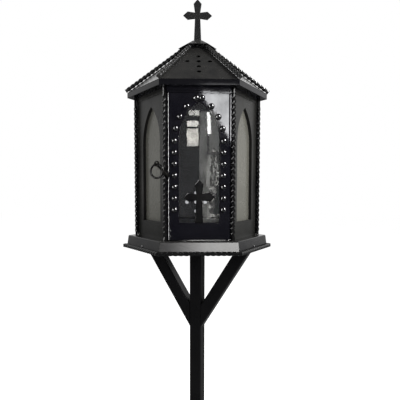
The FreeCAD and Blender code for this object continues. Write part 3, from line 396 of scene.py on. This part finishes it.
def twistedBarTree():
    tree, given, out = newTree("twisted_bars", {
        "Length": "Float", "Side": "Float", "Quarters": "Float", "Plain foot": "Float",
        "Plain head": "Float", "Rounding": "Float", "Sections": "Int", "Offset": "Vector",
        "Lean": "Vector", "Roll": "Float", "Count": "Int", "Material": "Material"})
    get = given.outputs
    top = addNode(tree, "ShaderNodeCombineXYZ", {"Z": get["Length"]}).outputs[0]
    line = addNode(tree, "GeometryNodeCurvePrimitiveLine", {"End": top}).outputs[0]
    line = addNode(tree, "GeometryNodeResampleCurve", {"Curve": line, "Count": get["Sections"]}).outputs[0]
    along = addNode(tree, "GeometryNodeSplineParameter").outputs["Length"]
    twistedPart = mathNode(tree, "SUBTRACT", mathNode(tree, "SUBTRACT", get["Length"], get["Plain foot"]),
                           get["Plain head"])
    share = mathNode(tree, "DIVIDE", mathNode(tree, "SUBTRACT", along, get["Plain foot"]), twistedPart)
    share = addNode(tree, "ShaderNodeClamp", {"Value": share}).outputs[0]
    tilt = product(tree, product(tree, share, get["Quarters"]), -math.pi / 2)
    tilt = mathNode(tree, "ADD", tilt, get["Roll"])
    line = addNode(tree, "GeometryNodeSetCurveTilt", {"Curve": line, "Tilt": tilt}).outputs[0]
    square = addNode(tree, "GeometryNodeCurvePrimitiveQuadrilateral", {
        "Width": get["Side"], "Height": get["Side"]})
    square = addNode(tree, "GeometryNodeFilletCurve", {
        "Curve": square.outputs[0], "Count": 2, "Radius": get["Rounding"]}, mode="POLY").outputs[0]
    bar = addNode(tree, "GeometryNodeCurveToMesh", {
        "Curve": line, "Profile Curve": square, "Fill Caps": True}).outputs[0]
    bar = addNode(tree, "GeometryNodeTransform", {
        "Geometry": bar, "Translation": get["Offset"], "Rotation": get["Lean"]}).outputs[0]
    stations = addNode(tree, "GeometryNodePoints", {"Count": get["Count"]}).outputs[0]
    number = addNode(tree, "GeometryNodeInputIndex").outputs[0]
    turn = addNode(tree, "ShaderNodeCombineXYZ", {"Z": product(tree, number, sixth)})
    bars = addNode(tree, "GeometryNodeInstanceOnPoints", {
        "Points": stations, "Instance": bar, "Rotation": turn.outputs[0]}).outputs[0]
    bars = addNode(tree, "GeometryNodeRealizeInstances", {"Geometry": bars}).outputs[0]
    bars = addNode(tree, "GeometryNodeSetMaterial", {
        "Geometry": bars, "Material": get["Material"]}).outputs[0]
    tree.links.new(bars, out.inputs[0])
    return tree


twistTree = twistedBarTree()
twist = {"side": 6, "lay": 40, "rounding": 0.45, "sectionsPerTurn": 28}


def twistedBars(name, length, offset, lean, roll=0.0, foot=0.0, head=0.0, count=6, paint=barPaint):
    quarters = max(1, round(4 * (length - foot - head) / twist["lay"]))
    return grow(name, twistTree, {
        "Length": length * mm, "Side": twist["side"] * mm, "Quarters": float(quarters),
        "Plain foot": foot * mm, "Plain head": head * mm, "Rounding": twist["rounding"] * mm,
        "Sections": round(length / twist["lay"] * twist["sectionsPerTurn"]),
        "Offset": [v * mm for v in offset], "Lean": list(lean), "Roll": roll, "Count": count,
        "Material": paint})


def joinMeshes(piece, meshes):
    # takes further meshes into a piece's own
    whole = bmesh.new()
    for mesh in (piece.data, *meshes):
        whole.from_mesh(mesh)
    whole.to_mesh(piece.data)
    whole.free()
    return piece


# the seam is the bead of weld that closes each bar against the ends of the panels
cornerBar = {"out": 125, "foot": 6, "head": 16}
seam = {"side": 2.6, "out": 121.4}
cornerFoot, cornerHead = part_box("corner_bar_right")
panelFoot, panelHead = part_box("panel_rear")
cornerBars = twistedBars("corner_bars", (cornerHead.z - cornerFoot.z) / mm,
                         (cornerBar["out"], 0, cornerFoot.z / mm), (0, 0, 0),
                         foot=cornerBar["foot"], head=cornerBar["head"])
seams = grow("corner_seams", twistTree, {
    "Length": panelHead.z - panelFoot.z, "Side": seam["side"] * mm, "Quarters": 0.0, "Plain foot": 0.0,
    "Plain head": 0.0, "Rounding": seam["side"] * mm / 4, "Sections": 2,
    "Offset": [seam["out"] * mm, 0.0, panelFoot.z], "Lean": [0.0, 0.0, 0.0], "Roll": 0.0, "Count": 6,
    "Material": barPaint})
joinMeshes(cornerBars, [seams.data])
bpy.data.objects.remove(seams)
finishPiece(smooth(cornerBars), "lantern", "bar_paint", *["corner_bar_" + corner for corner in corners])

hip = {"radius": 142.5, "rise": 103.5, "end": 24, "gap": 0.02}
hipPitch = math.atan(hip["rise"] / hip["radius"])
barRadius = twist["side"] / math.sqrt(2)
hipLift = barRadius + hip["gap"]
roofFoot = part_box("roof_shell")[0].z / mm
hipBars = twistedBars("hip_bars", (hip["radius"] - hip["end"]) / math.cos(hipPitch),
                      (hip["radius"] + hipLift * math.sin(hipPitch), 0,
                       roofFoot + hipLift * math.cos(hipPitch)),
                      (0, hipPitch - math.pi / 2, 0), roll=math.pi / 4, paint=roofPaint)
finishPiece(smooth(hipBars), "lantern", "bar_paint", *["hip_bar_" + corner for corner in corners])


def mitre(piece, away):
    # cuts a bar along -Y off at the two planes it shares with its neighbours
    shape = bmesh.new()
    shape.from_mesh(piece.data)
    for side in (-1, 1):
        plane = Vector((side * math.cos(sixth / 2), math.sin(sixth / 2), 0))
        everything = [*shape.verts, *shape.edges, *shape.faces]
        cutThrough = bmesh.ops.bisect_plane(shape, geom=everything, dist=1e-7, plane_co=-plane * away,
                                            plane_no=plane, clear_outer=True)
        cutEdges = [item for item in cutThrough["geom_cut"] if isinstance(item, bmesh.types.BMEdge)]
        bmesh.ops.holes_fill(shape, edges=cutEdges, sides=0)
    shape.to_mesh(piece.data)
    shape.free()
    return piece


rim = {"plateRadius": 145.5, "sunk": 0.1, "mitreGap": 0.02}
edgeFoot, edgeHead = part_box("edge_bars")
plateLevel = (edgeFoot.z + edgeHead.z) / 2 / mm
edgeFlat = rim["plateRadius"] * math.cos(sixth / 2) + barRadius - rim["sunk"]
edgeLong = 2 * (edgeFlat + barRadius) * math.tan(sixth / 2)
edgeBar = mitre(twistedBars("edge_bars_seen", edgeLong, (-edgeLong / 2, -edgeFlat, plateLevel),
                            (0, math.pi / 2, 0), count=1), rim["mitreGap"] * mm)
turnedSides = []
for number in range(1, 6):
    turnedSides.append(edgeBar.data.copy())
    turnedSides[-1].transform(Matrix.Rotation(number * sixth, 4, "Z"))
joinMeshes(edgeBar, turnedSides)
finishPiece(smooth(edgeBar), "lantern", "bar_paint", "edge_bars")
print("twisted bars grown")


# Half-ball studs on the door

def studTree():
    tree, given, out = newTree("studs", {"Radius": "Float", "Facets": "Int", "Material": "Material"})
    get = given.outputs
    ball = addNode(tree, "GeometryNodeMeshUVSphere", {
        "Segments": get["Facets"], "Rings": get["Facets"], "Radius": get["Radius"]}).outputs[0]
    level = addNode(tree, "ShaderNodeSeparateXYZ", {
        "Vector": addNode(tree, "GeometryNodeInputPosition").outputs[0]}).outputs["Z"]
    below = addNode(tree, "FunctionNodeCompare", {"A": level, "B": -0.00001}, data_type="FLOAT",
                    operation="LESS_THAN").outputs[0]
    dome = addNode(tree, "GeometryNodeDeleteGeometry", {"Geometry": ball, "Selection": below}).outputs[0]
    base = addNode(tree, "GeometryNodeMeshCircle", {
        "Vertices": get["Facets"], "Radius": get["Radius"]}, fill_type="NGON").outputs[0]
    base = addNode(tree, "GeometryNodeFlipFaces", {"Mesh": base}).outputs[0]
    both = addNode(tree, "GeometryNodeJoinGeometry")
    tree.links.new(dome, both.inputs[0])
    tree.links.new(base, both.inputs[0])
    closed = addNode(tree, "GeometryNodeMergeByDistance", {
        "Geometry": both.outputs[0], "Distance": 0.00002}).outputs[0]
    studs = addNode(tree, "GeometryNodeInstanceOnPoints", {
        "Points": get["Geometry"], "Instance": closed, "Rotation": (math.pi / 2, 0, 0)}).outputs[0]
    studs = addNode(tree, "GeometryNodeRealizeInstances", {"Geometry": studs}).outputs[0]
    studs = addNode(tree, "GeometryNodeSetMaterial", {
        "Geometry": studs, "Material": get["Material"]}).outputs[0]
    tree.links.new(studs, out.inputs[0])
    return tree


stud = {"size": 11.5, "across": 44.5, "lowest": 24.1, "step": 20.7, "sides": 7, "facets": 24,
        "archRadius": 89.5, "archShift": 45, "archStart": 2.1, "archStep": 22.4, "arch": 4}
window = {"up": 32.8, "straight": 150.2}
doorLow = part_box("door_leaf")[0]
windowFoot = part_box("base_box")[1].z / mm + window["up"]
springLevel = windowFoot + window["straight"]
studSpots = []
for side in (-1, 1):
    for number in range(stud["sides"]):
        studSpots.append((side * stud["across"], windowFoot + stud["lowest"] + number * stud["step"]))
    for number in range(1, stud["arch"] + 1):
        angle = (number * stud["archStep"] - stud["archStart"]) / stud["archRadius"]
        studSpots.append((side * (stud["archRadius"] * math.cos(angle) - stud["archShift"]),
                          springLevel + stud["archRadius"] * math.sin(angle)))
studs = grow("door_studs_seen", studTree(), {
    "Radius": stud["size"] / 2 * mm, "Facets": stud["facets"], "Material": studPaint},
    [(across * mm, doorLow.y, up * mm) for across, up in studSpots])
finishPiece(smooth(studs, 60), "door", "stud_paint", "door_studs")
print("studs grown:", len(studSpots))


# Ring pull, a round wire ring hanging in the lug's eye

# the wire is a hair thinner than the solid's, to stay inside its box
pull = {"size": 28, "wire": 3.75, "turn": -25, "thinner": 0.995}


def ringMesh(name, radius, wire, centre, turn, turns=64, sides=20):
    shape = bmesh.new()
    rows = []
    for number in range(turns):
        spin = 2 * math.pi * number / turns
        outward = Vector((math.cos(spin), 0, math.sin(spin)))
        rows.append([shape.verts.new(outward * (radius + wire / 2 * math.cos(2 * math.pi * side / sides))
                                     + Vector((0, wire / 2 * math.sin(2 * math.pi * side / sides), 0)))
                     for side in range(sides)])
    for number in range(turns):
        low, high = rows[number], rows[(number + 1) % turns]
        for side in range(sides):
            after = (side + 1) % sides
            shape.faces.new([low[side], low[after], high[after], high[side]])
    bmesh.ops.recalc_face_normals(shape, faces=shape.faces)
    mesh = bpy.data.meshes.new(name)
    shape.to_mesh(mesh)
    shape.free()
    mesh.transform(Matrix.Translation(centre) @ Matrix.Rotation(turn, 4, "Z"))
    return linkNew(bpy.data.objects.new(name, mesh))


ringLow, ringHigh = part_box("pull_ring")
ringCentre = (ringLow + ringHigh) / 2
pullRing = ringMesh("pull_ring_seen", (pull["size"] - pull["wire"]) / 2 * mm,
                    pull["wire"] * mm * pull["thinner"], ringCentre, math.radians(pull["turn"]))
pullRing.data.materials.append(wornPaint)
finishPiece(smooth(pullRing), "ring", "ring_paint", "pull_ring")
print("ring pull made")


# Lamps, soft ones to both sides and behind; none of them is mirrored

def lampAt(name, place, target, size, power, colour=(1, 1, 1)):
    data = bpy.data.lights.new(name, "AREA")
    data.shape = "RECTANGLE"
    data.size, data.size_y = size
    data.energy = power
    data.color = colour
    lamp = linkNew(bpy.data.objects.new(name, data))
    lamp.location = place
    lamp.rotation_mode = "QUATERNION"
    lamp.rotation_quaternion = (Vector(target) - Vector(place)).to_track_quat("-Z", "Y")
    return lamp


middle = (0, 0, 0.82)
for lamp in (lampAt("left_window", (-2.3, -1.35, 1.5), middle, (0.6, 0.9), 6, (1.0, 0.99, 0.96)),
             lampAt("right_window", (2.3, -1.35, 1.95), middle, (0.6, 0.9), 62, (1.0, 0.99, 0.96)),
             lampAt("sky_right", (2.2, 0.9, 3.0), middle, (1.6, 1.6), 50, (0.98, 1.0, 0.98)),
             lampAt("sky_left", (-2.0, 1.2, 2.6), middle, (1.2, 1.2), 16, (0.98, 1.0, 0.98))):
    lamp.visible_glossy = False


# A lamp that only the skirt's sheet mirrors

def lightOnly(light, name, pieces):
    light.light_linking.receiver_collection = bpy.data.collections.new(name)
    for piece in pieces:
        light.light_linking.receiver_collection.objects.link(bpy.data.objects[piece])


skirtLamp = lampAt("skirt_lamp", (0.45, -2.5, 1.0), (0.03, -0.13, 0.663), (0.92, 0.5), 110,
                   (1.0, 0.99, 0.97))
lightOnly(skirtLamp, "skirt_only", ["base_box_seen"])


# Soft cards behind the camera, seen only as reflections in the paint and the pane

cardLight = {
    "leafCard": {
        "strength": 13, "place": -3.5, "tint": (0.97, 0.98, 1.0), "patch": (0.45, 1.2),
        "outline": [
            (0.14, 1.66), (0.46, 1.66), (0.46, 1.19), (0.395, 1.222), (0.359, 1.286), (0.312, 1.378),
            (0.247, 1.496), (0.173, 1.586), (0.136, 1.622)]},
    "paneHigh": {
        "strength": 13, "place": -3.52, "tint": (1.0, 0.99, 0.93), "patch": (0.4, 1.3),
        "outline": [
            (0.011, 1.458), (0.108, 1.459), (0.108, 1.504), (0.015, 1.504)]},
    "paneMiddle": {
        "strength": 17, "place": -3.52, "tint": (1.0, 0.98, 0.92), "patch": (0.3, 1.4),
        "outline": [
            (-0.006, 1.352), (0.099, 1.352), (0.099, 1.409), (-0.008, 1.408)]},
    "paneLow": {
        "strength": 14, "place": -3.52, "tint": (1.0, 0.97, 0.90), "patch": (0.3, 1.4),
        "outline": [
            (0.0, 1.176), (0.099, 1.176), (0.099, 1.334), (-0.004, 1.334)]},
    "strip": {
        "strength": 30, "place": -3.52, "tint": (1.0, 1.0, 0.98), "patch": (0.9, 1.1),
        "outline": [
            (0.184, 1.285), (0.216, 1.286), (0.216, 1.45), (0.204, 1.491), (0.184, 1.491)]},
    "veil": {
        "strength": 2.1, "place": -3.56, "tint": (1.0, 1.0, 0.96), "patch": (0.4, 1.4),
        "outline": [
            (0.112, 0.466), (0.297, 0.466), (0.297, 1.504), (0.112, 1.504)]},
    "muntin": {
        "strength": 1.2, "place": -3.515, "tint": (1.0, 1.0, 0.94), "patch": (0.8, 1.2),
        "outline": [
            (0.057, 1.455), (0.065, 1.455), (0.065, 1.507), (0.057, 1.507)]},
    "branchHigh": {
        "strength": 4.6, "place": -3.525, "tint": (1.0, 1.0, 0.95), "patch": (0.5, 1.5), "grain": 40,
        "outline": [(0.186, 1.012), (0.216, 1.012), (0.214, 1.088), (0.190, 1.088)]},
    "branchLow": {
        "strength": 4.6, "place": -3.525, "tint": (1.0, 1.0, 0.95), "patch": (0.4, 1.6), "grain": 40,
        "outline": [(0.176, 0.80), (0.206, 0.80), (0.211, 1.0), (0.184, 1.0)]},
    "shade": {
        "strength": 0.15, "place": -3.522, "tint": (0.9, 1.0, 0.95), "patch": (0.5, 1.5),
        "outline": [
            (0.244, 0.536), (0.297, 0.536), (0.297, 0.84), (0.284, 0.82), (0.262, 0.70)]},
    "leaves": {
        "strength": 2.4, "place": -3.53, "tint": (1.0, 1.0, 0.94), "patch": (0.25, 3.4), "grain": 48,
        "reach": (0.49, 0.64),
        "outline": [(0.19, 0.466), (0.297, 0.466), (0.297, 1.12), (0.24, 1.17), (0.19, 0.98)]},
    "post": {
        "strength": 0.0, "place": -3.515, "tint": (1, 1, 1), "patch": (1, 1),
        "outline": [
            (0.185, 1.09), (0.196, 1.09), (0.196, 1.29), (0.185, 1.29)]},
    "lowStrip": {
        "strength": 2.2, "place": -3.54, "tint": (1.0, 1.0, 0.93), "patch": (0.3, 1.5),
        "outline": [
            (0.15, 0.466), (0.235, 0.466), (0.235, 1.046), (0.15, 1.046)]},
    "darkWall": {
        "strength": 0.08, "place": -4.2, "tint": (0.9, 0.87, 1.0), "patch": (0.5, 1.5),
        "outline": [
            (-2.6, 0.02), (2.6, 0.02), (2.6, 3.4), (-2.6, 3.4)]},
}

# Cards that make the sharp glints, each one on chosen pieces only

turned = ["door_studs_seen", "corner_bars", "hip_bars", "edge_bars_seen", "pull_ring_seen", "cap_seen"]
glintAway = 2.6
glints = {
    "leftGlint": {"strength": 36, "turn": -65, "up": 3, "size": (0.4, 2.0), "only": turned},
    "rightGlint": {"strength": 60, "turn": 54, "up": 33, "size": (0.7, 1.7), "only": turned},
    "rimGlint": {"strength": 60, "turn": -88, "up": 3, "size": (1.6, 2.0), "only": ["door_leaf_seen"]},
    "crossGlint": {"strength": 60, "turn": -75, "up": 60, "size": (2.4, 2.0), "only": ["door_cross_seen"]},
    "eaveGlint": {"strength": 30, "turn": 0, "up": 84, "size": (2.4, 2.4), "only": ["eave_plate_seen"]},
}
for name, glint in glints.items():
    turn, up = math.radians(glint["turn"]), math.radians(glint["up"])
    facing = Vector((math.sin(turn) * math.cos(up), -math.cos(turn) * math.cos(up), math.sin(up)))
    across = Vector((math.cos(turn), math.sin(turn), 0))
    tall = facing.cross(across)
    centre = Vector(middle) + facing * glintAway
    glint.update(tint=(1, 1, 0.99), patch=(0.9, 1.1))
    glint["corners"] = [centre + across * glint["size"][0] / 2 * a + tall * glint["size"][1] / 2 * b
                        for a, b in ((-1, -1), (1, -1), (1, 1), (-1, 1))]


def addCard(name, card):
    mesh = bpy.data.meshes.new(name)
    corners = card.get("corners") or [(across, card["place"], up) for across, up in card["outline"]]
    mesh.from_pydata([tuple(corner) for corner in corners], [], [tuple(range(len(corners)))[::-1]])
    piece = linkNew(bpy.data.objects.new(name, mesh))
    material, tree, shader = newMaterial(name + "_glow")
    cloud = noiseOn(tree, card.get("grain", 11), 5, 0.65, (1, 1, 0.7))
    cloud = rangeOf(tree, cloud, *card["patch"], *card.get("reach", (0.3, 0.7)))
    tree.links.new(product(tree, cloud, card["strength"]), shader.inputs["Emission Strength"])
    shader.inputs["Emission Color"].default_value = (*card["tint"], 1)
    shader.inputs["Base Color"].default_value = (0.01, 0.01, 0.014, 1)
    shader.inputs["Specular IOR Level"].default_value = 0
    mesh.materials.append(material)
    for ray in ("camera", "diffuse", "transmission", "shadow"):
        setattr(piece, "visible_" + ray, False)
    return piece


for name, card in cardLight.items():
    addCard(name, card)
for name, glint in glints.items():
    lightOnly(addCard(name, glint), name + "_only", glint["only"])


# Floor: white to the camera, grey in gloss and glass

paper = {"half": 12, "dark": (0.78, 0.78, 0.78), "light": (0.82, 0.82, 0.82), "mirrored": (0.2, 0.2, 0.2),
         "grain": 3, "roughness": 0.9, "glow": 0.66}
floorMesh = bpy.data.meshes.new("floor")
floorMesh.from_pydata([(across * paper["half"], along * paper["half"], 0)
                       for across, along in ((-1, -1), (1, -1), (1, 1), (-1, 1))], [], [(0, 1, 2, 3)])
floor = linkNew(bpy.data.objects.new("floor", floorMesh))
floorMaterial, tree, shader = newMaterial("floor_paper")
grain = noiseOn(tree, paper["grain"], 4)
seen = addNode(tree, "ShaderNodeLightPath").outputs
plainPaper = mixColour(tree, rangeOf(tree, grain, 0, 1), paper["dark"], paper["light"])
mirrored = mathNode(tree, "MAXIMUM", seen["Is Glossy Ray"], seen["Is Transmission Ray"])
tree.links.new(mixColour(tree, mirrored, plainPaper, paper["mirrored"]), shader.inputs["Base Color"])
shader.inputs["Roughness"].default_value = paper["roughness"]
shader.inputs["Specular IOR Level"].default_value = 0
shader.inputs["Emission Color"].default_value = (1, 1, 1, 1)
tree.links.new(product(tree, seen["Is Camera Ray"], paper["glow"]), shader.inputs["Emission Strength"])
floorMesh.materials.append(floorMaterial)


# Surroundings: white to the camera, through glass and behind the lantern in the gloss; a darker
# room before it and overhead in the gloss, with some sky to the right and to both sides

surroundings = {"camera": 1.0, "light": 0.42, "before": 0.03, "behind": 1.0, "over": 0.12,
                "skyLeft": 0.0, "skyRight": 0.3, "skyTop": 0.15, "skyRear": 0.08, "side": 0.5}
world = bpy.data.worlds.new("studio")
bpy.context.scene.world = world
world.use_nodes = True
tree = world.node_tree
background = tree.nodes["Background"]
away = addNode(tree, "ShaderNodeSeparateXYZ", {
    "Vector": addNode(tree, "ShaderNodeTexCoord").outputs["Generated"]}).outputs
behind = rangeOf(tree, away["Y"], surroundings["before"], surroundings["behind"], -0.15, 0.5)
behind = product(tree, behind, rangeOf(tree, away["Z"], 1, surroundings["over"], 0.5, 0.8))
sky = rangeOf(tree, away["X"], surroundings["skyLeft"], surroundings["skyRight"], -0.12, 0.2)
lowSky = product(tree, rangeOf(tree, away["Z"], 0, 1, 0.10, 0.28),
                 rangeOf(tree, away["Z"], 1, surroundings["skyTop"], 0.5, 0.8))
lowSky = product(tree, lowSky, rangeOf(tree, away["Y"], surroundings["skyRear"], 1, 0.6, 0.85))
lowSky = product(tree, lowSky, rangeOf(tree, away["Y"], 0, 1, 0.0, 0.2))
aside = mathNode(tree, "ABSOLUTE", away["X"])
lowSky = product(tree, lowSky, rangeOf(tree, aside, 0.1, 1, 0.06, 0.14))
sideSky = product(tree, rangeOf(tree, aside, 0, surroundings["side"], 0.25, 0.45),
                  rangeOf(tree, away["Z"], 0, 1, 0.3, 0.5))
gloss = mathNode(tree, "ADD", mathNode(tree, "ADD", behind, sideSky), product(tree, sky, lowSky))
seen = addNode(tree, "ShaderNodeLightPath").outputs
level = addNode(tree, "ShaderNodeMix", {0: seen["Is Glossy Ray"], 2: surroundings["light"], 3: gloss},
                data_type="FLOAT").outputs[0]
plain = mathNode(tree, "MAXIMUM", seen["Is Camera Ray"], seen["Is Transmission Ray"])
level = addNode(tree, "ShaderNodeMix", {0: plain, 2: level, 3: surroundings["camera"]},
                data_type="FLOAT").outputs[0]
tree.links.new(level, background.inputs["Strength"])
background.inputs["Color"].default_value = (1, 1, 1, 1)
print("lamps, cards, floor and surroundings set")
